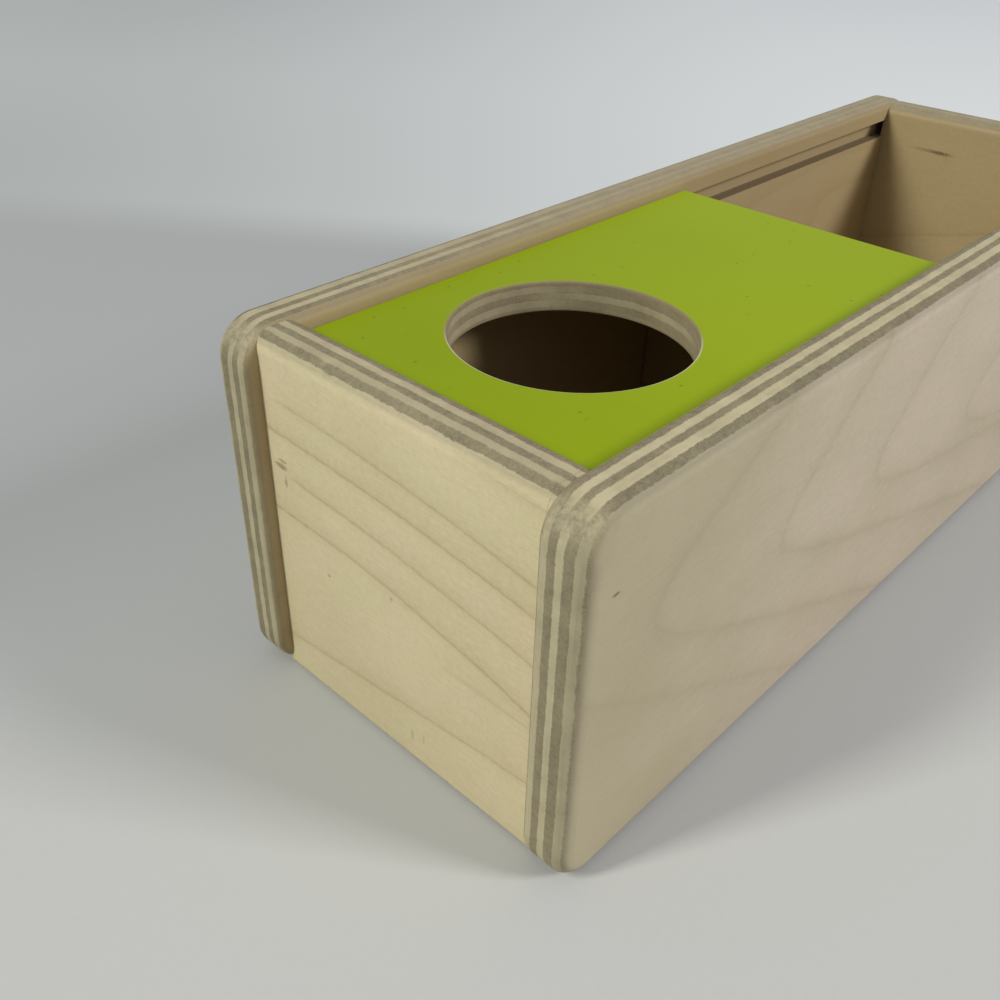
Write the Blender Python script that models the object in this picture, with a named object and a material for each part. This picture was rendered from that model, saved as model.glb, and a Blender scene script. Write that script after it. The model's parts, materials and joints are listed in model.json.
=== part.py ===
"""Sliding top box of birch plywood: two compartments and a short painted lid that slides over either one."""

import math

import bmesh
import bpy

# Whole box, in metres
LENGTH = 0.230
WIDTH = 0.080
HEIGHT = 0.0715
WALL_T = 0.009
END_RECESS = 0.0026
END_DROP = 0.0005

# Rounding of the side panels' corners and edges, and of the end panels' long edges
CORNER_R = 0.007
OUTER_ROUND = 0.0027
INNER_ROUND = 0.0018
END_OUTER_ROUND = 0.0033
END_INNER_ROUND = 0.0026
END_FOOT_ROUND = 0.0015

# Lid: plate with a thinner tongue along both sides, and a round hole near one end
LID_LENGTH = 0.1066
LID_T = 0.006
LID_DROP = 0.0029
TONGUE_T = 0.0039
HOLE_R = 0.021
HOLE_MARGIN = 0.0108
ARRIS = 0.0005

# Grooves routed in the side panels
GROOVE_DEPTH = 0.003
GROOVE_OVERRUN = 0.005

# Bottom panel
BOTTOM_T = 0.0039
BOTTOM_RISE = 0.003

# Divider between the two compartments, which the lid passes over
DIVIDER_T = 0.009
DIVIDER_CLEAR = 0.0008
DIVIDER_ROUND = 0.001

# Dowels that pin the end panels and the divider to the side panels
DOWEL_R = 0.003
DOWEL_LENGTH = 0.020
DOWEL_IN_SIDE = 0.0057
DOWEL_HEIGHTS = (0.018, 0.046)
DOWEL_TAPER = 0.0008
FLUTES = 12
FLUTE_DEPTH = 0.00015

# Clearances: between glued pieces, around the sliding tongue, and beside the lid's plate
GAP = 0.0003
SLIDE_GAP = 0.0003
SIDE_PLAY = 0.0004

# Fineness of the rounded shapes
CORNER_STEPS = 12
ROUND_STEPS = 6
ARRIS_STEPS = 2
GROOVE_STEPS = 10
HOLE_STEPS = 96
BORE_STEPS = 24

# Places that several pieces share
WALL_IN = WIDTH / 2 - WALL_T
END_IN = LENGTH / 2 - END_RECESS - WALL_T
LID_TOP = HEIGHT - LID_DROP
LID_FOOT = LID_TOP - LID_T
LID_NEAR = -END_IN + GAP
TONGUE_HALF = WALL_IN + GROOVE_DEPTH - SIDE_PLAY
PLATE_HALF = WALL_IN - SIDE_PLAY
LID_GROOVE_H = TONGUE_T + 2 * SLIDE_GAP
LID_GROOVE_Z = LID_FOOT + TONGUE_T / 2
BOTTOM_GROOVE_H = BOTTOM_T + 2 * GAP
BOTTOM_GROOVE_Z = BOTTOM_RISE + BOTTOM_T / 2
END_TOP = HEIGHT - END_DROP
DIVIDER_FOOT = BOTTOM_RISE + BOTTOM_T + GAP
DIVIDER_TOP = LID_FOOT - DIVIDER_CLEAR
DOWEL_Y = WALL_IN + DOWEL_IN_SIDE - DOWEL_LENGTH / 2
END_MID = END_IN + WALL_T / 2

# Finishes
BIRCH = (0.66, 0.54, 0.35, 1.0)
BEECH = (0.52, 0.35, 0.20, 1.0)
GREEN = (0.33, 0.45, 0.012, 1.0)
WOOD_ROUGHNESS = 0.6
PAINT_ROUGHNESS = 0.42


def finish(name, colour, roughness):
    made = bpy.data.materials.new(name + "_finish")
    made.use_nodes = True
    shader = made.node_tree.nodes["Principled BSDF"]
    shader.inputs["Base Color"].default_value = colour
    shader.inputs["Roughness"].default_value = roughness
    shader.inputs["Metallic"].default_value = 0.0
    return made


def link(name, shape, location):
    """Turns a bmesh into an object, its small faces smooth and its flat ends flat."""
    bmesh.ops.recalc_face_normals(shape, faces=shape.faces[:])
    mesh = bpy.data.meshes.new(name)
    shape.to_mesh(mesh)
    shape.free()
    made = bpy.data.objects.new(name, mesh)
    made.location = location
    bpy.context.scene.collection.objects.link(made)
    return made


def loft(name, loops, location):
    """Closed solid through loops of equally many points, with a flat face at each end."""
    shape = bmesh.new()
    rings = [[shape.verts.new(point) for point in loop] for loop in loops]
    count = len(rings[0])
    for low, high in zip(rings, rings[1:]):
        for i in range(count):
            j = (i + 1) % count
            side = shape.faces.new((low[i], low[j], high[j], high[i]))
            side.smooth = True
    shape.faces.new(rings[0])
    shape.faces.new(rings[-1])
    return link(name, shape, location)


def piece(made, colour, roughness):
    made.data.materials.append(finish(made.name, colour, roughness))
    made.data.set_sharp_from_angle(angle=math.radians(32))
    return made


def cutter(made):
    made.hide_render = True
    made.display_type = "WIRE"
    return made


def cut(target, tool):
    modifier = target.modifiers.new("cut_" + tool.name, "BOOLEAN")
    modifier.operation = "DIFFERENCE"
    modifier.solver = "EXACT"
    modifier.object = tool


def arc(radius, start, end, steps):
    """Points of an arc about the origin, as pairs, from one angle to another in degrees."""
    for k in range(steps + 1):
        angle = math.radians(start + (end - start) * k / steps)
        yield radius * math.cos(angle), radius * math.sin(angle)


def rounded_outline(half_x, half_z, radius, inset, steps):
    """Rectangle with round corners about the origin, drawn in by an inset that keeps the corner centres."""
    points = []
    for quarter, (sx, sz) in enumerate(((1, 1), (-1, 1), (-1, -1), (1, -1))):
        for x, z in arc(radius - inset, 90 * quarter, 90 * quarter + 90, steps):
            points.append((sx * (half_x - radius) + x, sz * (half_z - radius) + z))
    return points


def side_panel(name, side):
    """Wall with round corners and rounded edges. Its outer face looks along side on the Y axis."""
    layers = []
    for across, in_by in arc(OUTER_ROUND, 0, 90, ROUND_STEPS):
        layers.append((WALL_T / 2 - OUTER_ROUND + across, OUTER_ROUND - in_by))
    for across, in_by in arc(INNER_ROUND, 90, 0, ROUND_STEPS):
        layers.append((-WALL_T / 2 + INNER_ROUND - across, INNER_ROUND - in_by))
    loops = []
    for across, inset in layers:
        flat = rounded_outline(LENGTH / 2, HEIGHT / 2, CORNER_R, inset, CORNER_STEPS)
        loops.append([(x, side * across, z) for x, z in flat])
    place = (0, side * (WALL_IN + WALL_T / 2), HEIGHT / 2)
    return piece(loft(name, loops, place), BIRCH, WOOD_ROUGHNESS)


def board_across(name, x, thickness, foot, top, rounds):
    """Upright board between the side panels. Rounds are its radii at +X top, -X top, -X foot and +X foot."""
    middle = (foot + top) / 2
    profile = []
    for quarter, radius in enumerate(rounds):
        sx = 1 if quarter in (0, 3) else -1
        sz = 1 if quarter < 2 else -1
        for across, up in arc(radius, 90 * quarter, 90 * quarter + 90, ROUND_STEPS):
            profile.append((sx * (thickness / 2 - radius) + across, sz * ((top - foot) / 2 - radius) + up))
    half = WALL_IN - GAP
    loops = [[(across, y, up) for across, up in profile] for y in (-half, half)]
    return piece(loft(name, loops, (x, 0, middle)), BIRCH, WOOD_ROUGHNESS)


def end_panel(name, end):
    """End wall, well rounded along the top, a touch lower than the side panels that it stands between."""
    tops = (END_OUTER_ROUND, END_INNER_ROUND) if end > 0 else (END_INNER_ROUND, END_OUTER_ROUND)
    return board_across(name, end * END_MID, WALL_T, 0, END_TOP, tops + (END_FOOT_ROUND, END_FOOT_ROUND))


def divider(name):
    """Wall in the middle of the box, standing on the bottom panel and ending just below the lid."""
    return board_across(name, 0, DIVIDER_T, DIVIDER_FOOT, DIVIDER_TOP, (DIVIDER_ROUND,) * 4)


def groove_cutter(name, side, height, middle):
    """Slot with the round ends that a router leaves, let into the inner face of a side panel."""
    straight = END_IN + GROOVE_OVERRUN - height / 2
    flat = [(straight + x, z) for x, z in arc(height / 2, -90, 90, GROOVE_STEPS)]
    flat += [(-straight + x, z) for x, z in arc(height / 2, 90, 270, GROOVE_STEPS)]
    loops = [[(x, side * y, z) for x, z in flat] for y in (-WALL_T, GROOVE_DEPTH)]
    return cutter(loft(name, loops, (0, side * WALL_IN, middle)))


def dowel_loops(radius, length, taper, flute):
    """Rings of a pin along Y with tapered ends, its section fluted by drawing in every second point."""
    rings = []
    ends = (-length / 2, -length / 2 + taper, length / 2 - taper, length / 2)
    for y, drawn in zip(ends, (taper, 0, 0, taper)):
        ring = []
        for k in range(BORE_STEPS):
            angle = 2 * math.pi * k / BORE_STEPS
            reach = radius - drawn - (flute if k % (BORE_STEPS // FLUTES) else 0)
            ring.append((reach * math.cos(angle), y, reach * math.sin(angle)))
        rings.append(ring)
    return rings


def dowel(name, place):
    loops = dowel_loops(DOWEL_R, DOWEL_LENGTH, DOWEL_TAPER, FLUTE_DEPTH)
    return piece(loft(name, loops, place), BEECH, WOOD_ROUGHNESS)


def bore_cutter(name, place):
    loops = dowel_loops(DOWEL_R + GAP, DOWEL_LENGTH + 2 * GAP, DOWEL_TAPER, 0)
    return cutter(loft(name, loops, place))


def lid_plate(name):
    """Lid about its own centre: plate on top, tongues at both sides below, every outer arris broken."""
    half_x = LID_LENGTH / 2
    half_z = LID_T / 2
    step = -half_z + TONGUE_T
    right = [(TONGUE_HALF, -half_z), (TONGUE_HALF, step), (PLATE_HALF, step), (PLATE_HALF, half_z)]
    section = right + [(-y, z) for y, z in reversed(right)]
    shape = bmesh.new()
    near, far = [[shape.verts.new((x, y, z)) for y, z in section] for x in (-half_x, half_x)]
    count = len(section)
    for i in range(count):
        j = (i + 1) % count
        shape.faces.new((near[i], near[j], far[j], far[i]))
    shape.faces.new(near)
    shape.faces.new(far)
    bmesh.ops.recalc_face_normals(shape, faces=shape.faces[:])
    outer = [edge for edge in shape.edges if edge.is_convex]
    bmesh.ops.bevel(shape, geom=outer, offset=ARRIS, segments=ARRIS_STEPS, profile=0.5, affect="EDGES")
    place = (LID_NEAR + half_x, 0, LID_FOOT + half_z)
    return piece(link(name, shape, place), GREEN, PAINT_ROUGHNESS)


def hole_cutter(name):
    """Drill for the lid's hole that widens at both faces, so that the rims come out broken."""
    half_z = LID_T / 2
    rise = [(HOLE_R + ARRIS, -half_z - ARRIS)]
    for x, z in arc(ARRIS, -90, 0, ARRIS_STEPS):
        rise.append((HOLE_R + ARRIS - x, -half_z + ARRIS + z))
    rise += [(reach, -z) for reach, z in reversed(rise)]
    loops = []
    for reach, z in rise:
        loops.append([(x, y, z) for x, y in list(arc(reach, 0, 360, HOLE_STEPS))[:-1]])
    place = (LID_NEAR + HOLE_MARGIN + HOLE_R, 0, LID_FOOT + half_z)
    return cutter(loft(name, loops, place))


def bottom_panel(name):
    """Floor of the box, its long edges held in the side panels' lower grooves."""
    half_x = END_IN - GAP
    half_y = WALL_IN + GROOVE_DEPTH - GAP
    corners = ((half_x, half_y), (-half_x, half_y), (-half_x, -half_y), (half_x, -half_y))
    loops = [[(x, y, z) for x, y in corners] for z in (-BOTTOM_T / 2, BOTTOM_T / 2)]
    return piece(loft(name, loops, (0, 0, BOTTOM_GROOVE_Z)), BIRCH, WOOD_ROUGHNESS)


def build():
    for old in list(bpy.data.objects):
        bpy.data.objects.remove(old)
    sides = {-1: side_panel("side_panel_front", -1), 1: side_panel("side_panel_back", 1)}
    ends = {-1: end_panel("end_panel_near", -1), 1: end_panel("end_panel_far", 1)}
    for side, wall in sides.items():
        cut(wall, groove_cutter(f"{wall.name}_lid_groove", side, LID_GROOVE_H, LID_GROOVE_Z))
        cut(wall, groove_cutter(f"{wall.name}_bottom_groove", side, BOTTOM_GROOVE_H, BOTTOM_GROOVE_Z))
    stations = (("near", -END_MID, ends[-1]), ("middle", 0, divider("divider")), ("far", END_MID, ends[1]))
    for station, x, board in stations:
        for side, side_word in ((-1, "front"), (1, "back")):
            for height, height_word in zip(DOWEL_HEIGHTS, ("low", "high")):
                name = f"dowel_{station}_{side_word}_{height_word}"
                place = (x, side * DOWEL_Y, height)
                dowel(name, place)
                bore = bore_cutter(name + "_bore", place)
                cut(sides[side], bore)
                cut(board, bore)
    bottom_panel("bottom_panel")
    cut(lid_plate("sliding_lid"), hole_cutter("lid_hole"))


build()
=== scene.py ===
"""Looks of the sliding top box: bare birch plywood with its plies showing, and a lid painted lime green."""

import json
import math

import bmesh
import bpy
from mathutils import Matrix, Vector

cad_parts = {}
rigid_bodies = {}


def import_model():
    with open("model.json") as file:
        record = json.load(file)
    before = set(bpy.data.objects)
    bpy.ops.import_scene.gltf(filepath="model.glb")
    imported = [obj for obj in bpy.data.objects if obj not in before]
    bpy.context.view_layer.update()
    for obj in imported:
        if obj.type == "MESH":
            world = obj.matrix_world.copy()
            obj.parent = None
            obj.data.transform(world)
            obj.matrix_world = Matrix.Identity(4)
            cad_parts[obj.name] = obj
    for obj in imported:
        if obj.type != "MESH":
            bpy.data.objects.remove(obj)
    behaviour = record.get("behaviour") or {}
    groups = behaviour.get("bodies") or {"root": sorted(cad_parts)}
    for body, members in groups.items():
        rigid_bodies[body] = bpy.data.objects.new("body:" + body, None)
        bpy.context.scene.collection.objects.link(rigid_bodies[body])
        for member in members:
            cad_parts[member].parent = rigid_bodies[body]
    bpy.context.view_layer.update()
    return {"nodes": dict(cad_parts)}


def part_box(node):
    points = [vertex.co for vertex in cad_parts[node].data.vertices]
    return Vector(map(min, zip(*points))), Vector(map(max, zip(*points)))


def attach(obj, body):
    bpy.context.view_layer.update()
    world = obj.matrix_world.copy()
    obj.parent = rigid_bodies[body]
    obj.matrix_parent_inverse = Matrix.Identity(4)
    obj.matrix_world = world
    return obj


for old in list(bpy.data.objects):
    bpy.data.objects.remove(old)
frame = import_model()
nodes = frame["nodes"]
scene = bpy.context.scene
scene.view_settings.view_transform = "Standard"

X, Y, Z = 0, 1, 2
MM = 1000.0

# Sockets of a Mix node that mixes colours
MIX_FACTOR, MIX_FIRST, MIX_SECOND = 0, 6, 7
MIX_RESULT = 2

# Where the textures of seed 0 start along X, Y and Z, and how far each seed moves them
SEED_START = (0.0, 11.0, 23.0)
SEED_STEP = (7.31, 3.17, 5.03)


def rgb(red, green, blue):
    return (red, green, blue, 1.0)


def darker(colour, shade):
    return [part * shade for part in colour[:3]] + [1.0]


# Colours of the plywood's edges and joints, and the painted shade of the grooves
EDGE_LIGHT = rgb(0.560, 0.490, 0.310)
EDGE_DARK = rgb(0.336, 0.288, 0.176)
EDGE_MIDDLE = rgb(0.370, 0.312, 0.198)
GLUE_LINE = rgb(0.16, 0.12, 0.07)
GROOVE_SHADE = rgb(0.190, 0.135, 0.070)

# Colours of the plywood's faces, where late is the colour of the growth lines
FLECK = rgb(0.180, 0.125, 0.048)
SIDE_DULL = rgb(0.480, 0.424, 0.277)
SIDE_PALE = rgb(0.600, 0.518, 0.390)
SIDE_LATE = rgb(0.380, 0.315, 0.200)
END_WARM = rgb(0.765, 0.650, 0.425)
END_COOL = rgb(0.740, 0.660, 0.405)
END_LOW = rgb(0.590, 0.500, 0.310)
END_LATE = rgb(0.480, 0.380, 0.205)
# Inner faces: the same birch, painted darker and warmer as shade inside the box, and lighter where the side
# panels reach past the end panels
INNER_FACE_SHADED = rgb(0.450, 0.352, 0.192)
INNER_UNSHADED_PAST_ENDS = rgb(0.570, 0.480, 0.310)
INNER_END_SHADED = rgb(0.535, 0.420, 0.228)
INNER_LATE_SHADED = rgb(0.370, 0.270, 0.130)
LID_BARE = rgb(0.470, 0.395, 0.245)

# Colours of the paint, where the deep green is both its own tone and its painted shade, and of the rim of
# the hole
PAINT_LIGHT = rgb(0.297, 0.390, 0.0048)
PAINT_DEEP_AND_SHADED = rgb(0.237, 0.319, 0.0012)
PAINT_SPECK = rgb(0.13, 0.16, 0.008)
RIM_DULL = rgb(0.270, 0.250, 0.080)
# Painted highlight on the near side of the hole's rim
RIM_PAINTED_HIGHLIGHT = rgb(0.540, 0.500, 0.320)

# Colours of the dowels and the floor, whose darker and lighter tones are painted shade and painted light
BEECH = rgb(0.56, 0.39, 0.23)
BEECH_DARK = rgb(0.43, 0.28, 0.15)
BEECH_RAY = rgb(0.28, 0.17, 0.085)
FLOOR_NEAR = rgb(0.530, 0.538, 0.534)
FLOOR_PAINTED_SHADOW = rgb(0.402, 0.416, 0.416)
FLOOR_SHADED_LEFT = rgb(0.445, 0.468, 0.467)
FLOOR_SHADED_FAR_LEFT = rgb(0.512, 0.538, 0.538)
FLOOR_LIT_RIGHT = rgb(0.757, 0.785, 0.80)

# Depths in millimetres at which the plies end, and a brightness for each ply
SIDE_PLIES = [0.90, 2.28, 4.00, 5.32, 6.75, 8.05, 9.00]
END_PLIES = [0.92, 2.20, 3.50, 4.90, 6.30, 8.00, 9.00]
LID_PLIES = [0.95, 2.32, 3.68, 5.05, 6.00]
BOTTOM_PLIES = [1.2, 2.7, 3.9]
FRONT_TONES = [1.0, 0.84, 0.95, 0.97, 0.97, 0.92, 1.0]
BACK_TONES = [1.0, 0.80, 0.88, 0.90, 0.90, 0.86, 1.0]
END_TONES = [1.0, 1.03, 0.80, 0.98, 0.86, 0.92, 1.0]
LID_TONES = [1.0, 0.95, 1.0, 0.95, 1.0]
BOTTOM_TONES = [1.0, 1.0, 1.0]

# Places on the box in millimetres, where a pair is the start and the end of a soft change
INNER_SIDE = 31.0
TOP = 71.5
HOLE_PLACE = -71.3
HOLE_RIM = (21.35, 21.50)
GROOVE_HEIGHT = 64.5
GROOVE_EDGE = (2.5, 3.0)
PAST_ENDS = (110.5, 112.5)
INNER_HALF = (4.0, 5.0)

# Growth lines and marks of single faces, with the fields that the functions below name
FRONT_ARCHES = [
    (-2.0, 28.0, 1.25, 0.70, 6.0, 0.7),
    (16.7, 25.0, 2.10, 0.25, 8.0, 1.0),
    (53.9, 32.0, 2.20, 1.05, 6.0, 1.0),
    (91.0, 35.5, 3.60, 2.40, 6.0, 0.9),
    (131.0, 38.0, 3.40, 1.60, 7.0, 0.9),
    (172.0, 36.0, 3.20, 0.60, 7.0, 0.9),
]
FRONT_FLECKS = [(6.3, 14.0, 0.75, 0.3, 0.9)]
NEAR_LINES = [
    (1.2, 0.02, 0.0004, 0.45, 38.0, 50.0),
    (11.0, 0.02, 0.0013, 0.85, 1.0, 8.0),
    (17.3, 0.02, 0.0010, 1.0, -1.0, 0.0),
    (25.0, 0.03, 0.0012, 0.85, 2.0, 9.0),
    (33.3, 0.00, 0.0021, 1.0, -1.0, 0.0),
    (44.4, -0.01, 0.0, 0.45, 41.0, 44.0),
    (63.3, -0.14, 0.0003, 0.9, -1.0, 0.0),
]
NEAR_FLECKS = [
    (3.2, 23.9, 1.6, 0.60, 0.62),
    (3.6, 22.7, 1.1, 0.35, 0.55),
    (4.1, 26.8, 0.4, 1.2, 0.5),
    (34.3, 65.4, 0.3, 1.5, 0.3),
    (37.2, 64.3, 0.22, 1.2, 0.28),
    (14.0, 41.4, 0.35, 0.35, 0.5),
    (30.3, 37.0, 0.4, 0.5, 0.4),
]
FAR_LINES = [(39.0, -0.28, 0.0, 0.6, -1.0, 0.0)]
FAR_FLECKS = [(15.8, 10.4, 6.4, 0.45, 0.45), (17.8, 10.6, 2.6, 0.55, 0.45)]


# Shader building: values with arithmetic, all lengths in millimetres in the part's own frame


class Term:
    """A value in a material's node tree."""

    def __init__(self, look, socket):
        self.look = look
        self.socket = socket

    def __add__(self, other):
        return self.look.math("ADD", self, other)

    def __sub__(self, other):
        return self.look.math("SUBTRACT", self, other)

    def __rsub__(self, other):
        return self.look.math("SUBTRACT", other, self)

    def __mul__(self, other):
        return self.look.math("MULTIPLY", self, other)

    def __truediv__(self, other):
        return self.look.math("DIVIDE", self, other)

    def __pow__(self, other):
        return self.look.math("POWER", self, other)

    __radd__ = __add__
    __rmul__ = __mul__

    def abs(self):
        return self.look.math("ABSOLUTE", self)

    def exp(self):
        return self.look.math("EXPONENT", self)

    def root(self):
        return self.look.math("SQRT", self)

    def fract(self):
        return self.look.math("FRACT", self)

    def least(self, other):
        return self.look.math("MINIMUM", self, other)

    def most(self, other):
        return self.look.math("MAXIMUM", self, other)

    def step(self, low, high):
        """0 below low, 1 above high, smooth between."""
        node = self.look.node("ShaderNodeMapRange", interpolation_type="SMOOTHSTEP")
        self.look.feed(node.inputs["Value"], self)
        node.inputs["From Min"].default_value = low
        node.inputs["From Max"].default_value = high
        return Term(self.look, node.outputs["Result"])

    def past(self, edge, half):
        """0 before the edge, 1 after it, with a smooth change of this half width."""
        return self.step(edge - half, edge + half)

    def ramp(self, low, high, stops):
        """Piecewise linear from (position, value) pairs between low and high."""
        node = self.look.node("ShaderNodeValToRGB")
        self.look.feed(node.inputs["Fac"], (self - low) * (1 / (high - low)))
        elements = node.color_ramp.elements
        while len(elements) < len(stops):
            elements.new(1.0)
        for element, (place, value) in zip(elements, stops):
            element.position = (place - low) / (high - low)
            element.color = rgb(value, value, value)
        return Term(self.look, node.outputs["Color"])


class Look:
    """A procedural material, built on object coordinates and the surface normal."""

    def __init__(self, name):
        self.material = bpy.data.materials.new(name)
        self.material.use_nodes = True
        self.tree = self.material.node_tree
        self.tree.nodes.clear()
        coordinates = self.node("ShaderNodeTexCoord")
        scale = self.node("ShaderNodeVectorMath", operation="SCALE")
        scale.inputs["Scale"].default_value = MM
        self.tree.links.new(coordinates.outputs["Object"], scale.inputs[0])
        self.place = scale.outputs["Vector"]
        self.at = self.split(self.place)
        self.facing = self.split(coordinates.outputs["Normal"])

    def node(self, kind, **settings):
        made = self.tree.nodes.new(kind)
        for key, value in settings.items():
            setattr(made, key, value)
        return made

    def feed(self, socket, value):
        """Link a term or a socket, or set a plain value."""
        if isinstance(value, Term):
            self.tree.links.new(value.socket, socket)
        elif isinstance(value, bpy.types.NodeSocket):
            self.tree.links.new(value, socket)
        else:
            socket.default_value = value

    def split(self, vector):
        node = self.node("ShaderNodeSeparateXYZ")
        self.tree.links.new(vector, node.inputs[0])
        return [Term(self, output) for output in node.outputs]

    def math(self, operation, *values):
        node = self.node("ShaderNodeMath", operation=operation)
        for socket, value in zip(node.inputs, values):
            self.feed(socket, value)
        return Term(self, node.outputs[0])

    def stretched(self, sizes, seed):
        """Place in units of one size, or of one size for each axis, moved by the seed."""
        if isinstance(sizes, float):
            sizes = (sizes, sizes, sizes)
        node = self.node("ShaderNodeMapping")
        self.tree.links.new(self.place, node.inputs["Vector"])
        node.inputs["Scale"].default_value = [1 / size for size in sizes]
        node.inputs["Location"].default_value = [
            start + seed * step for start, step in zip(SEED_START, SEED_STEP)
        ]
        return node.outputs["Vector"]

    def noise(self, sizes, seed, detail=2.0, roughness=0.5):
        """Smooth noise from -1 to 1, with features of about this size, or these sizes along X, Y and Z."""
        node = self.node("ShaderNodeTexNoise")
        self.tree.links.new(self.stretched(sizes, seed), node.inputs["Vector"])
        node.inputs["Scale"].default_value = 1.0
        node.inputs["Detail"].default_value = detail
        node.inputs["Roughness"].default_value = roughness
        return (Term(self, node.outputs["Fac"]) - 0.5) * 2.0

    def specks(self, sizes, seed, radius, share):
        """Sparse dots on a level face: 1 in a dot's middle. Share is the part of the cells that hold one."""
        soft = 0.01
        full = radius * 0.4
        node = self.node("ShaderNodeTexVoronoi", voronoi_dimensions="2D")
        self.tree.links.new(self.stretched(sizes, seed), node.inputs["Vector"])
        node.inputs["Scale"].default_value = 1.0
        kept = self.split(node.outputs["Color"])[0].past(1 - share, soft)
        return (1.0 - Term(self, node.outputs["Distance"]).step(full, radius)) * kept

    def done(self, colour, roughness, height, specular=0.35):
        """The material with its shader. Height is in millimetres."""
        shader = self.node("ShaderNodeBsdfPrincipled")
        self.feed(shader.inputs["Base Color"], colour)
        self.feed(shader.inputs["Roughness"], roughness)
        shader.inputs["Specular IOR Level"].default_value = specular
        bump = self.node("ShaderNodeBump")
        bump.inputs["Strength"].default_value = 1.0
        bump.inputs["Distance"].default_value = 1 / MM
        self.feed(bump.inputs["Height"], height)
        self.tree.links.new(bump.outputs["Normal"], shader.inputs["Normal"])
        out = self.node("ShaderNodeOutputMaterial")
        self.tree.links.new(shader.outputs[0], out.inputs["Surface"])
        return self.material


def colour_mix(look, amount, first, second, blend="MIX"):
    node = look.node("ShaderNodeMix", data_type="RGBA", blend_type=blend)
    look.feed(node.inputs[MIX_FACTOR], amount)
    look.feed(node.inputs[MIX_FIRST], first)
    look.feed(node.inputs[MIX_SECOND], second)
    return node.outputs[MIX_RESULT]


def low_mm(node):
    """Lowest corner of a CAD node's box in millimetres."""
    return [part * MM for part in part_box(node)[0]]


def high_mm(node):
    """Highest corner of a CAD node's box in millimetres."""
    return [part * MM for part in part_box(node)[1]]


# Figure of the face veneers


def growth(gap, before, after):
    """Shade of one growth line by signed distance: slow darkening before it, a quick end after it."""
    return (gap.least(0.0) * (1 / before) - gap.most(0.0) * (1 / after)).exp()


def contour_figure(look, across, sizes, seed, spacing):
    """Growth lines as the contours of a slow noise that is stretched along the grain."""
    fine_share = 0.12
    bend, shiver = 1.7, 0.05
    line_power, line_end = 6.0, 0.955
    band_power, band_shade = 1.5, 0.25
    slow = look.noise(sizes, seed, detail=1.5, roughness=0.4)
    fine = look.noise([size * fine_share for size in sizes], seed + 3.0)
    height = across * (1 / spacing) + slow * bend + fine * shiver
    saw = height.fract()
    line = (saw ** line_power) * (1.0 - saw.step(line_end, 1.0))
    return line + (saw ** band_power) * band_shade


def straight_lines(look, along, across, lines):
    """Growth lines that cross a face with a slight bow.

    Each has its place, slope, bow and strength, and where along the face it starts and ends fading in.
    """
    wander = look.noise(14.0, 41.0) * 0.35
    ragged = look.noise((1.2, 1.2, 0.7), 43.0, detail=3.0) * 0.30
    total = None
    for start, slope, bow, strength, fade_low, fade_high in lines:
        gap = across - (along * along * bow + along * slope + start) + wander + ragged
        thin = growth(gap, before=0.24, after=0.18) * 0.50
        broad = growth(gap, before=3.6, after=0.8) * 0.28
        shade = (thin + broad) * along.step(fade_low, fade_high) * strength
        total = shade if total is None else total + shade
    return total


def cathedral_lines(look, along, across, arches):
    """Nested pointed arches that open towards the far end.

    Each has its tip's place along and across the face, the spread and tilt of its arms, the roundness of
    its tip and its strength.
    """
    wander = look.noise((22.0, 22.0, 12.0), 51.0) * 1.1
    ragged = look.noise((3.0, 3.0, 1.2), 53.0, detail=3.0) * 0.7
    total = None
    for tip, height, spread, tilt, roundness, strength in arches:
        rise = across - height
        reach = (rise * rise + roundness * roundness).root()
        line = reach * spread + rise * tilt + (tip - spread * roundness)
        slope = rise / reach * spread + tilt
        gap = (along - line) / (slope * slope + 1.0).root() + wander + ragged
        thin = growth(gap, before=0.8, after=0.6) * 0.17
        broad = growth(gap, before=6.0, after=2.0) * 0.20
        shade = (thin + broad) * strength
        total = shade if total is None else total + shade
    return total


def flecks(look, along, across, spots):
    """Small natural marks. Each has its place along and across the face, its half sizes and its strength."""
    ragged = look.noise((0.8, 0.8, 0.5), 61.0, detail=3.0) * 1.3
    total = None
    for place_along, place_across, half_along, half_across, strength in spots:
        across_gap = (across - place_across) * (1 / half_across)
        along_gap = (along - place_along) * (1 / half_along)
        spread = across_gap * across_gap + along_gap * along_gap + ragged
        spot = (1.0 - spread.step(0.15, 1.55)) * strength
        total = spot if total is None else total + spot
    return total


# Plywood


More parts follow.
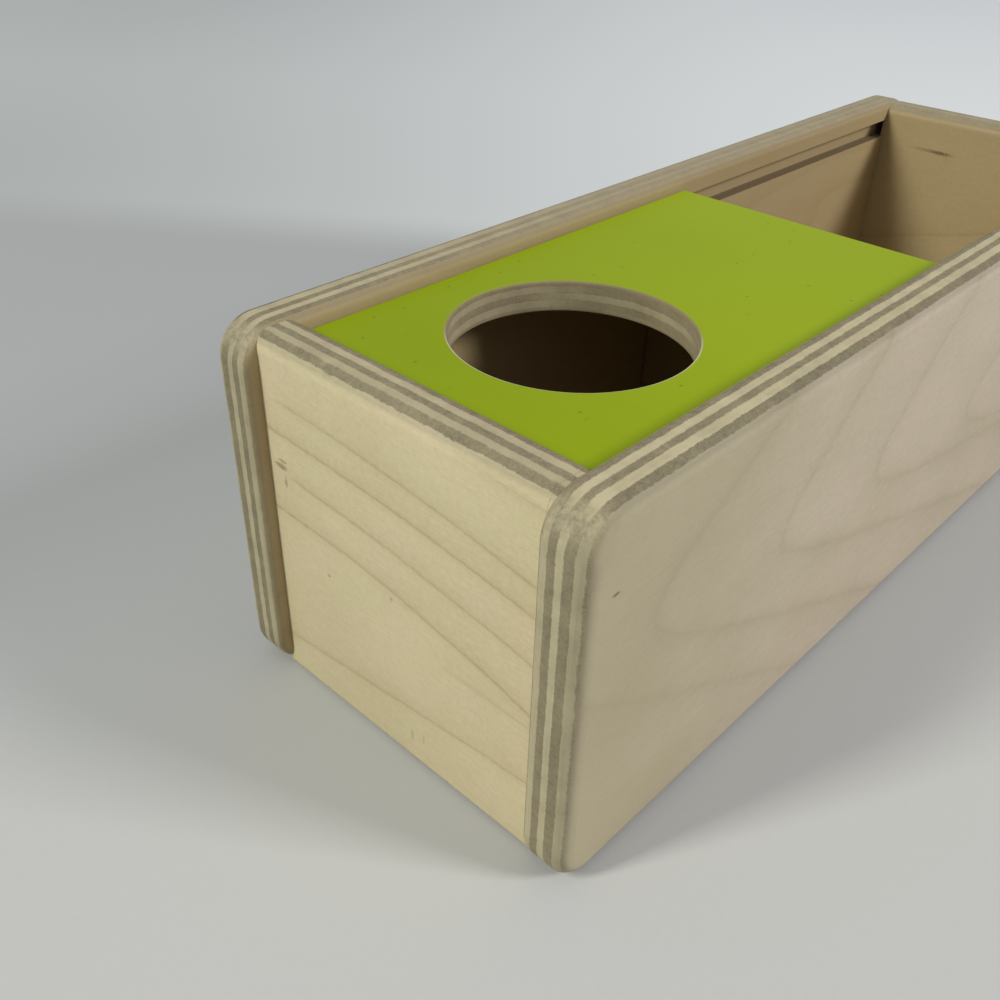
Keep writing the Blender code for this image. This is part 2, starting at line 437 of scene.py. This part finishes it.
class Board:
    """Plywood: which ply a point lies in, and how the grain of that ply is cut there.

    Depth starts at the face of the first ply, and edges are the depths at which the plies end. The first,
    third and other odd plies have their grain along one axis, the even ones along another.
    """

    # Half widths in millimetres: change between plies, glue line, change of tone, change to the last ply
    ply_change = 0.08
    glue_line = 0.11
    tone_change = 0.02
    last_change = 0.1

    # Added to the seed for the grain of the odd and of the even plies
    grain_seeds = (5.0, 9.0)

    def __init__(self, look, depth, edges, odd_grain, even_grain, seed, wobble=0.1):
        self.look = look
        self.depth = depth
        self.edges = edges
        self.thickness = edges[-1]
        self.grains = (odd_grain, even_grain)
        self.axis = ({X, Y, Z} - set(self.grains)).pop()
        self.seed = seed
        slow = look.noise(9.0, seed)
        uneven = look.noise(2.6, seed + 2.0)
        ragged = look.noise(0.7, seed + 1.0, detail=4.0, roughness=0.75)
        self.ply_depth = depth + slow * wobble + uneven * (wobble * 1.3) + ragged * 0.30
        self.even = self.alternate()
        self.find_cuts()

    def find_cuts(self):
        """How much end grain a point shows, and whether a corner cuts odd and even plies alike there."""
        nearly_none = 0.0001
        odd, even = [self.look.facing[axis] * self.look.facing[axis] for axis in self.grains]
        both = odd + even + nearly_none
        own = odd + (even - odd) * self.even
        last = 1.0 - self.ply_depth.past(self.edges[-2], self.last_change) * 0.5
        self.end_grain = own / both * own.step(0.22, 0.50) * last
        share = odd / both
        self.oblique = (share * (1.0 - share) * 4.0).step(0.35, 0.95) * both.step(0.2, 0.6)

    def alternate(self):
        """0 in the odd plies and 1 in the even ones."""
        stops = [(0.0, 0.0)]
        value = 0.0
        for edge in self.edges[:-1]:
            stops.append((edge - self.ply_change, value))
            value = 1.0 - value
            stops.append((edge + self.ply_change, value))
        return self.ply_depth.ramp(0.0, self.thickness, stops)

    def glue(self):
        """Thin dark lines between plies, apart from the last one."""
        stops = [(0.0, 0.0)]
        for edge in self.edges[:-2]:
            stops += [(edge - self.glue_line, 0.0), (edge, 1.0), (edge + self.glue_line, 0.0)]
        return self.ply_depth.ramp(0.0, self.thickness, stops)

    def tone(self, tones):
        """A brightness of its own for each ply."""
        stops = [(0.0, tones[0])]
        for edge, before, after in zip(self.edges[:-1], tones, tones[1:]):
            stops += [(edge - self.tone_change, before), (edge + self.tone_change, after)]
        return self.ply_depth.ramp(0.0, self.thickness, stops)

    def veneer(self):
        """1 in the first and the last ply."""
        soft = 0.06
        first = 1.0 - self.ply_depth.past(self.edges[0], soft)
        last = self.ply_depth.past(self.edges[-2], soft)
        return (first + last).least(1.0)

    def streaks(self, length, width, seed, **kind):
        """Noise drawn out along the grain of whichever ply is cut."""
        made = []
        for axis, offset in zip(self.grains, self.grain_seeds):
            sizes = [width, width, width]
            sizes[axis] = length
            made.append(self.look.noise(sizes, self.seed + seed + offset, **kind))
        odd, even = made
        return odd + (even - odd) * self.even


def wood(board, face_colour, late_colour, figure, marks, tones, torn_share=0.75, fade=0.0):
    """Colour, roughness and height of a plywood board.

    Figure and marks shade the face veneers only. Fade brings the plies of the edges closer to one tone.
    """
    look = board.look
    fibres = board.streaks(length=16.0, width=0.42, seed=0.0, detail=3.0, roughness=0.6)
    strokes = board.streaks(length=2.4, width=0.15, seed=2.0)
    pores = look.noise(0.26, board.seed + 13.0, detail=3.0, roughness=0.7)
    blotch = look.noise((23.0, 23.0, 19.0), board.seed + 21.0)
    grain = look.noise(1.1, board.seed + 27.0, detail=3.0, roughness=0.7)
    patches = look.noise(6.0, board.seed + 33.0, detail=3.0, roughness=0.6)
    torn = look.noise(0.85, board.seed + 39.0, detail=3.0, roughness=0.7)
    on_face = look.facing[board.axis].abs()
    upwards = look.facing[Z].abs().step(0.4, 0.8)
    veneer = board.veneer()

    # Long grain: the figured veneers and the plain plies between them
    face_shade = figure + fibres * 0.13 + strokes * 0.26 + blotch * 0.20 + grain * 0.24 + pores * 0.12
    face = colour_mix(look, (face_shade + 0.16).most(0.0), face_colour, late_colour)
    face = colour_mix(look, marks, face, FLECK)
    light_shade = (fibres * 0.45 + grain * 0.25 + patches * 0.95 + 0.26).most(0.0)
    core = colour_mix(look, light_shade, EDGE_LIGHT, darker(EDGE_LIGHT, 0.70))
    long_grain = colour_mix(look, veneer, core, face)

    # End grain, and a tone for each ply, with the veneers darker where an edge is rounded
    dark_shade = (pores * 0.95 + grain * 0.75 + patches * 0.65 + upwards * 0.22 + 0.34).most(0.0)
    end_cut = colour_mix(look, dark_shade, EDGE_DARK, darker(EDGE_DARK, 0.58))
    colour = colour_mix(look, board.end_grain, long_grain, end_cut)
    arris = (1.0 - on_face.step(0.80, 0.98)) * veneer
    tone = board.tone(tones) * (1.0 - arris * (1.0 - board.end_grain) * 0.26)
    colour = colour_mix(look, 1.0, colour, tone, blend="MULTIPLY")

    # Torn fibres on the corners, faded edges, glue lines, and painted shade on the bottoms of grooves
    torn_light, torn_dark = darker(EDGE_LIGHT, 0.84), darker(EDGE_DARK, 0.80)
    torn_colour = colour_mix(look, torn.step(-0.30, 0.45), torn_light, torn_dark)
    colour = colour_mix(look, board.oblique * torn_share, colour, torn_colour)
    even_tone = colour_mix(look, dark_shade * 0.6, EDGE_MIDDLE, darker(EDGE_MIDDLE, 0.72))
    colour = colour_mix(look, (1.0 - on_face.step(0.6, 0.95)) * fade, colour, even_tone)
    glue = board.glue() * (1.0 - on_face.step(0.55, 0.95)) * (patches * 0.9 + 0.35).most(0.08) * 0.7
    colour = colour_mix(look, glue, colour, GLUE_LINE)
    grooved = on_face.step(0.85, 0.97) * (1.0 - veneer)
    colour = colour_mix(look, grooved, colour, darker(INNER_FACE_SHADED, 0.95))

    roughness = 0.56 + fibres * 0.05 + board.end_grain * 0.18
    pits = pores.most(0.0) * board.end_grain * 0.03 + torn.most(0.0) * board.oblique * (0.06 * torn_share)
    height = fibres * 0.006 + strokes * 0.003 + grain * 0.004 - pits - glue * 0.03
    return colour, roughness, height


# Looks of the pieces


def side_panel_look(node, front, seed):
    """Side panel: odd plies with their grain along the box, even ones upright. Depth starts outside."""
    look = Look(node + "_birch_ply")
    low, high = low_mm(node), high_mm(node)
    depth = look.at[Y] - low[Y] if front else high[Y] - look.at[Y]
    board = Board(look, depth, SIDE_PLIES, X, Z, seed)
    along = look.at[X] - low[X]
    down = TOP - look.at[Z]
    inner = board.depth.step(*INNER_HALF)
    plain = contour_figure(look, down, (150.0, 40.0, 24.0), seed, spacing=31.0) * 0.3
    if front:
        outer = cathedral_lines(look, along, down, FRONT_ARCHES)
        figure = outer + (plain - outer) * inner
        marks = flecks(look, along, down, FRONT_FLECKS) * (1.0 - inner)
        past_ends = look.at[X].abs().step(*PAST_ENDS)
        tones = FRONT_TONES
        fade = 0.0
    else:
        figure = plain
        marks = 0.0
        past_ends = look.at[X].step(*PAST_ENDS)
        tones = BACK_TONES
        fade = look.facing[Z].abs().step(0.4, 0.8) * along.step(-10.0, 110.0) * 0.85
    drift = look.noise((20.0, 12.0, 12.0), seed + 45.0, detail=3.0) * 0.40 + along * (1 / 85.0)
    outer_face = colour_mix(look, drift.step(0.0, 1.0), SIDE_DULL, SIDE_PALE)
    # Painted shade on the inner face inside the box, lighter past the end panels
    inner_face = colour_mix(look, past_ends, INNER_FACE_SHADED, INNER_UNSHADED_PAST_ENDS)
    face = colour_mix(look, inner, outer_face, inner_face)
    late = colour_mix(look, inner, SIDE_LATE, INNER_LATE_SHADED)
    colour, roughness, height = wood(board, face, late, figure, marks, tones, fade=fade)
    # Painted shade on the groove's upper and lower walls
    at_groove = 1.0 - (look.at[Z] - GROOVE_HEIGHT).abs().step(*GROOVE_EDGE)
    groove = at_groove * look.facing[Z].abs().step(0.3, 0.6)
    colour = colour_mix(look, groove * 0.8, colour, GROOVE_SHADE)
    return look.done(colour, roughness, height)


def end_panel_look(node, near, seed):
    """End panel: odd plies with their grain across the box, even ones upright. Depth starts outside."""
    look = Look(node + "_birch_ply")
    low, high = low_mm(node), high_mm(node)
    depth = look.at[X] - low[X] if near else high[X] - look.at[X]
    board = Board(look, depth, END_PLIES, Y, Z, seed, wobble=0.14)
    along = INNER_SIDE - look.at[Y]
    down = TOP - look.at[Z]
    inner = board.depth.step(*INNER_HALF)
    plain = contour_figure(look, down, (40.0, 130.0, 22.0), seed, spacing=27.0) * 0.3
    if near:
        outer = straight_lines(look, along, down, NEAR_LINES)
        figure = outer + (plain - outer) * inner
        marks = flecks(look, along, down, NEAR_FLECKS) * (1.0 - inner)
        fade = 0.0
    else:
        seen = straight_lines(look, along, down, FAR_LINES)
        figure = plain + (seen - plain) * inner
        marks = flecks(look, along, down, FAR_FLECKS) * inner
        fade = 0.75
    drift = look.noise((9.0, 16.0, 9.0), seed + 45.0, detail=3.0).step(-0.4, 0.4)
    outer_face = colour_mix(look, drift, END_WARM, END_COOL)
    low_tone = (down - along * 0.35).step(0.0, 70.0) * 0.30
    outer_face = colour_mix(look, low_tone, outer_face, END_LOW)
    # Painted shade on the end panel's inner face
    face = colour_mix(look, inner, outer_face, INNER_END_SHADED)
    late = colour_mix(look, inner, END_LATE, INNER_LATE_SHADED)
    colour, roughness, height = wood(board, face, late, figure, marks, END_TONES, fade=fade)
    return look.done(colour, roughness, height)


def bottom_look(node):
    """Thin floor panel of three plies, its face grain along the box."""
    seed = 71.0
    look = Look(node + "_birch_ply")
    high = high_mm(node)
    board = Board(look, high[Z] - look.at[Z], BOTTOM_PLIES, X, Y, seed)
    figure = contour_figure(look, look.at[Y], (150.0, 26.0, 40.0), seed, spacing=30.0) * 0.5
    # Faces in the painted shade of the inner faces
    colour, roughness, height = wood(board, INNER_FACE_SHADED, INNER_LATE_SHADED, figure, 0.0, BOTTOM_TONES)
    return look.done(colour, roughness, height)


def divider_look(node):
    """Divider: odd plies with their grain across the box, even ones upright."""
    seed = 65.0
    look = Look(node + "_birch_ply")
    low = low_mm(node)
    board = Board(look, look.at[X] - low[X], END_PLIES, Y, Z, seed)
    figure = contour_figure(look, look.at[Z], (40.0, 130.0, 22.0), seed, spacing=27.0) * 0.5
    # Faces in the painted shade of the inner faces
    colour, roughness, height = wood(board, INNER_FACE_SHADED, INNER_LATE_SHADED, figure, 0.0, END_TONES)
    return look.done(colour, roughness, height)


def lid_look(node):
    """Lid of five plies with paint on its upper face. The hole and the edges are bare."""
    seed = 81.0
    look = Look(node + "_painted_ply")
    high = high_mm(node)
    depth = high[Z] - look.at[Z]
    board = Board(look, depth, LID_PLIES, Y, X, seed, wobble=0.12)
    figure = contour_figure(look, look.at[X], (22.0, 130.0, 40.0), seed, spacing=27.0) * 0.5
    # Growth lines of the underside in the painted shade of the inner faces
    bare, bare_rough, bare_height = wood(
        board, LID_BARE, INNER_LATE_SHADED, figure, 0.0, LID_TONES, torn_share=0.15, fade=0.4
    )

    # Where the paint ends, and the worn rim of the hole, with a painted highlight that makes it palest on
    # the near side
    ragged = look.noise(0.7, seed + 2.0)
    painted = (look.facing[Z] + ragged * 0.06).step(0.78, 0.90) * (1.0 - depth.step(0.6, 1.0))
    from_middle = look.at[X] - HOLE_PLACE
    from_hole = (from_middle * from_middle + look.at[Y] * look.at[Y]).root()
    rim = (1.0 - (from_hole + ragged * 0.05).step(*HOLE_RIM)) * look.facing[Z].step(0.3, 0.6)
    painted = painted * (1.0 - rim)
    highlight_side = 1.0 - (from_middle * 0.7 + look.at[Y] * 0.7).step(-9.0, 3.0)
    rim_colour = colour_mix(look, highlight_side, RIM_DULL, RIM_PAINTED_HIGHLIGHT)
    bare = colour_mix(look, rim, bare, rim_colour)

    # Paint, with small dents and scratches, and painted shade that darkens it towards the back and the near
    # end
    cloud = look.noise(30.0, seed + 4.0)
    telegraph = look.noise((0.6, 18.0, 1.0), seed + 6.0)
    peel = look.noise(0.7, seed + 8.0)
    dents = look.specks((6.0, 6.0, 1.0), seed + 10.0, radius=0.060, share=0.17)
    scratches = look.specks((8.0, 1.2, 1.0), seed + 11.0, radius=0.14, share=0.02) * 0.5
    # Painted shade: darker towards the back and the near end
    painted_shade_back_near = (look.at[Y] - look.at[X] * 0.9).step(10.0, 110.0)
    shade = (cloud * 0.25 + telegraph * 0.10 + painted_shade_back_near * 0.9 + 0.1).most(0.0)
    paint = colour_mix(look, shade, PAINT_LIGHT, PAINT_DEEP_AND_SHADED)
    paint = colour_mix(look, (dents + scratches) * 0.6, paint, PAINT_SPECK)
    paint_rough = 0.40 + peel * 0.03 + cloud * 0.03
    paint_height = peel * 0.0022 + telegraph * 0.0015 - dents * 0.03

    colour = colour_mix(look, painted, bare, paint)
    roughness = bare_rough + (paint_rough - bare_rough) * painted
    height = bare_height + (paint_height - bare_height) * painted
    return look.done(colour, roughness, height, specular=0.11)


def dowel_look():
    """Plain beech with short dark ray flecks."""
    look = Look("dowel_beech")
    streak = look.noise((0.3, 9.0, 0.3), 95.0, detail=3.0)
    rays = look.noise((0.35, 1.6, 0.35), 97.0, detail=1.0).step(0.25, 0.5)
    colour = colour_mix(look, (streak * 0.4 + 0.4).most(0.0), BEECH, BEECH_DARK)
    colour = colour_mix(look, rays * 0.5, colour, BEECH_RAY)
    return look.done(colour, 0.6 + streak * 0.05, streak * 0.008 - rays * 0.006)


def floor_look():
    """Pale matt board, a little darker to the left of the box and lighter behind it to the right: painted
    shadow and painted light.
    """
    look = Look("pale_floor")
    cloud = look.noise(260.0, 101.0)
    tooth = look.noise(1.6, 103.0, detail=3.0, roughness=0.7)
    rightwards = look.at[X] * 0.74 - look.at[Y] * 0.67
    back = look.at[X] * 0.811 + look.at[Y] * 0.585
    # Painted shadow of the box to its left, over a random tone
    shade = cloud * 0.15 + tooth * 0.10 + look.at[Y].step(40.0, 190.0)
    near = colour_mix(look, shade.most(0.0), FLOOR_NEAR, FLOOR_PAINTED_SHADOW)
    # Painted light and shade far off: darker to the left, lighter to the right
    left = colour_mix(look, back.step(170.0, 420.0), FLOOR_SHADED_LEFT, FLOOR_SHADED_FAR_LEFT)
    far = colour_mix(look, rightwards.step(-300.0, 230.0), left, FLOOR_LIT_RIGHT)
    colour = colour_mix(look, back.step(138.0, 186.0), near, far)
    return look.done(colour, 0.7, tooth * 0.004, specular=0.2)


# Shading of the CAD meshes: welded, with soft rounds and crisp corners


def crisp_rounds():
    """Geometry nodes that weld a mesh and mark every edge that is steeper than an angle as sharp."""
    weld_distance = 2e-6
    crisp_angle = math.radians(30)
    group = bpy.data.node_groups.new("crisp_rounds", "GeometryNodeTree")
    group.interface.new_socket("Geometry", in_out="INPUT", socket_type="NodeSocketGeometry")
    group.interface.new_socket("Geometry", in_out="OUTPUT", socket_type="NodeSocketGeometry")
    start = group.nodes.new("NodeGroupInput")
    weld = group.nodes.new("GeometryNodeMergeByDistance")
    weld.inputs["Distance"].default_value = weld_distance
    smooth = group.nodes.new("GeometryNodeSetShadeSmooth")
    smooth.domain = "FACE"
    angle = group.nodes.new("GeometryNodeInputMeshEdgeAngle")
    steep = group.nodes.new("FunctionNodeCompare")
    steep.operation = "GREATER_THAN"
    steep.inputs[1].default_value = crisp_angle
    sharp = group.nodes.new("GeometryNodeSetShadeSmooth")
    sharp.domain = "EDGE"
    sharp.inputs["Shade Smooth"].default_value = False
    end = group.nodes.new("NodeGroupOutput")
    links = group.links
    links.new(start.outputs[0], weld.inputs["Geometry"])
    links.new(weld.outputs["Geometry"], smooth.inputs["Geometry"])
    links.new(smooth.outputs["Geometry"], sharp.inputs["Geometry"])
    links.new(angle.outputs["Unsigned Angle"], steep.inputs[0])
    links.new(steep.outputs[0], sharp.inputs["Selection"])
    links.new(sharp.outputs["Geometry"], end.inputs[0])
    return group


def dress(name, material, group):
    """Give a CAD node its material, and shade its rounds as smooth and its flat faces as flat."""
    made = nodes[name]
    made.material_slots[0].material = material
    rounds = made.modifiers.new("rounds", "NODES")
    rounds.node_group = group
    weighted = made.modifiers.new("flat_faces", "WEIGHTED_NORMAL")
    weighted.keep_sharp = True
    weighted.weight = 100


def dress_all():
    group = crisp_rounds()
    dress("side_panel_front", side_panel_look("side_panel_front", front=True, seed=1.0), group)
    dress("side_panel_back", side_panel_look("side_panel_back", front=False, seed=2.0), group)
    dress("end_panel_near", end_panel_look("end_panel_near", near=True, seed=3.0), group)
    dress("end_panel_far", end_panel_look("end_panel_far", near=False, seed=4.0), group)
    dress("bottom_panel", bottom_look("bottom_panel"), group)
    dress("divider", divider_look("divider"), group)
    dress("sliding_lid", lid_look("sliding_lid"), group)
    beech = dowel_look()
    for name in sorted(nodes):
        if name.startswith("dowel_"):
            dress(name, beech, group)
    for panel in ("end_panel_near", "end_panel_far"):
        for side in ("front", "back"):
            add_seam(panel, side, nodes[panel].material_slots[0].material, group)


# Glue seams between the end panels and the side panels, in metres


def seam_outline(panel):
    """End panel's profile in the XZ plane, a little smaller than the panel, as (x, z) points."""
    inset = 0.00004
    outer, inner, foot = 0.0033, 0.0026, 0.0015
    steps = 8
    low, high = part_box(panel)
    top_left, top_right = (outer, inner) if panel.endswith("near") else (inner, outer)
    corners = [
        (low[X], low[Z], 1, 1, foot, 180),
        (high[X], low[Z], -1, 1, foot, 270),
        (high[X], high[Z], -1, -1, top_right, 0),
        (low[X], high[Z], 1, -1, top_left, 90),
    ]
    points = []
    for x, z, inward, upward, radius, start in corners:
        reach = radius - inset
        for step in range(steps + 1):
            angle = math.radians(start + 90 * step / steps)
            point_x = x + inward * radius + reach * math.cos(angle)
            point_z = z + upward * radius + reach * math.sin(angle)
            points.append((point_x, point_z))
    return points


def add_seam(panel, side, material, group):
    """Glue and wood dust that fill the joint, just below the faces on both sides of it."""
    into_side, into_end = 0.0010, 0.0001
    low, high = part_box(panel)
    if side == "front":
        near, far = low[Y] - into_side, low[Y] + into_end
    else:
        near, far = high[Y] - into_end, high[Y] + into_side
    name = panel.replace("end_panel", "seam") + "_" + side
    build = bmesh.new()
    rings = []
    for y in (near, (near + far) / 2, far):
        rings.append([build.verts.new((x, y, z)) for x, z in seam_outline(panel)])
    for before, after in zip(rings, rings[1:]):
        for k in range(len(before)):
            build.faces.new((before[k - 1], before[k], after[k], after[k - 1]))
    build.faces.new(rings[0])
    build.faces.new(rings[-1][::-1])
    bmesh.ops.recalc_face_normals(build, faces=build.faces)
    mesh = bpy.data.meshes.new(name)
    build.to_mesh(mesh)
    build.free()
    mesh.materials.append(material)
    seam = bpy.data.objects.new(name, mesh)
    scene.collection.objects.link(seam)
    seam.modifiers.new("rounds", "NODES").node_group = group
    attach(seam, "box")


# Floor, camera and light, in metres


def add_floor():
    half = 2.2
    mesh = bpy.data.meshes.new("floor")
    corners = [(-half, -half, 0), (half, -half, 0), (half, half, 0), (-half, half, 0)]
    mesh.from_pydata(corners, [], [(0, 1, 2, 3)])
    floor = bpy.data.objects.new("floor", mesh)
    mesh.materials.append(floor_look())
    scene.collection.objects.link(floor)


def add_camera():
    """Camera at the photograph's place, found by fitting the box's edges."""
    place = Vector((-0.194551, -0.098713, 0.142734))
    forward = Vector((0.60387, 0.55943, -0.56778)).normalized()
    right = Vector((0.69059, -0.72291, 0.02221))
    right = (right - forward * right.dot(forward)).normalized()
    up = right.cross(forward)
    turn = Matrix((right, up, -forward)).transposed().to_4x4()
    data = bpy.data.cameras.new("camera")
    data.sensor_width = 36.0
    data.lens = 37.244
    data.clip_start = 0.01
    camera = bpy.data.objects.new("camera", data)
    camera.matrix_world = Matrix.Translation(place) @ turn
    scene.collection.objects.link(camera)
    scene.camera = camera


def add_lamp(name, heading, elevation, power, size, colour):
    """Soft lamp that faces the box from a fixed distance. Heading is its direction in plan."""
    distance = 2.4
    data = bpy.data.lights.new(name, "AREA")
    data.shape = "RECTANGLE"
    data.size, data.size_y = size
    data.energy = power
    data.color = colour
    lamp = bpy.data.objects.new(name, data)
    flat = Vector((heading[0], heading[1], 0)).normalized()
    rise = math.radians(elevation)
    towards = flat * math.cos(rise) + Vector((0, 0, math.sin(rise)))
    lamp.location = towards * distance
    lamp.rotation_euler = towards.to_track_quat("Z", "Y").to_euler()
    scene.collection.objects.link(lamp)


def add_room():
    """A world that is lightest overhead and a little behind the box."""
    lightest = Vector((0.20, 0.18, 0.96)).normalized()
    levels = {"From Min": -0.3, "From Max": 0.9, "To Min": 0.08, "To Max": 0.43}
    world = bpy.data.worlds.new("room")
    world.use_nodes = True
    tree = world.node_tree
    background = tree.nodes["Background"]
    background.inputs["Color"].default_value = (0.94, 0.965, 1.03, 1.0)
    way = tree.nodes.new("ShaderNodeTexCoord")
    towards = tree.nodes.new("ShaderNodeVectorMath")
    towards.operation = "DOT_PRODUCT"
    towards.inputs[1].default_value = lightest
    lightness = tree.nodes.new("ShaderNodeMapRange")
    lightness.interpolation_type = "SMOOTHSTEP"
    for key, value in levels.items():
        lightness.inputs[key].default_value = value
    tree.links.new(way.outputs["Generated"], towards.inputs[0])
    tree.links.new(towards.outputs["Value"], lightness.inputs["Value"])
    tree.links.new(lightness.outputs["Result"], background.inputs["Strength"])
    scene.world = world


dress_all()
add_floor()
add_camera()
add_lamp(
    "left_window",
    heading=(-0.94, 0.341),
    elevation=38.0,
    power=31.0,
    size=(0.34, 0.95),
    colour=(0.985, 0.99, 0.89),
)
add_lamp(
    "right_window",
    heading=(0.418, -0.908),
    elevation=33.0,
    power=33.2,
    size=(0.55, 0.6),
    colour=(1.0, 0.97, 0.95),
)
add_room()
bpy.context.view_layer.update()
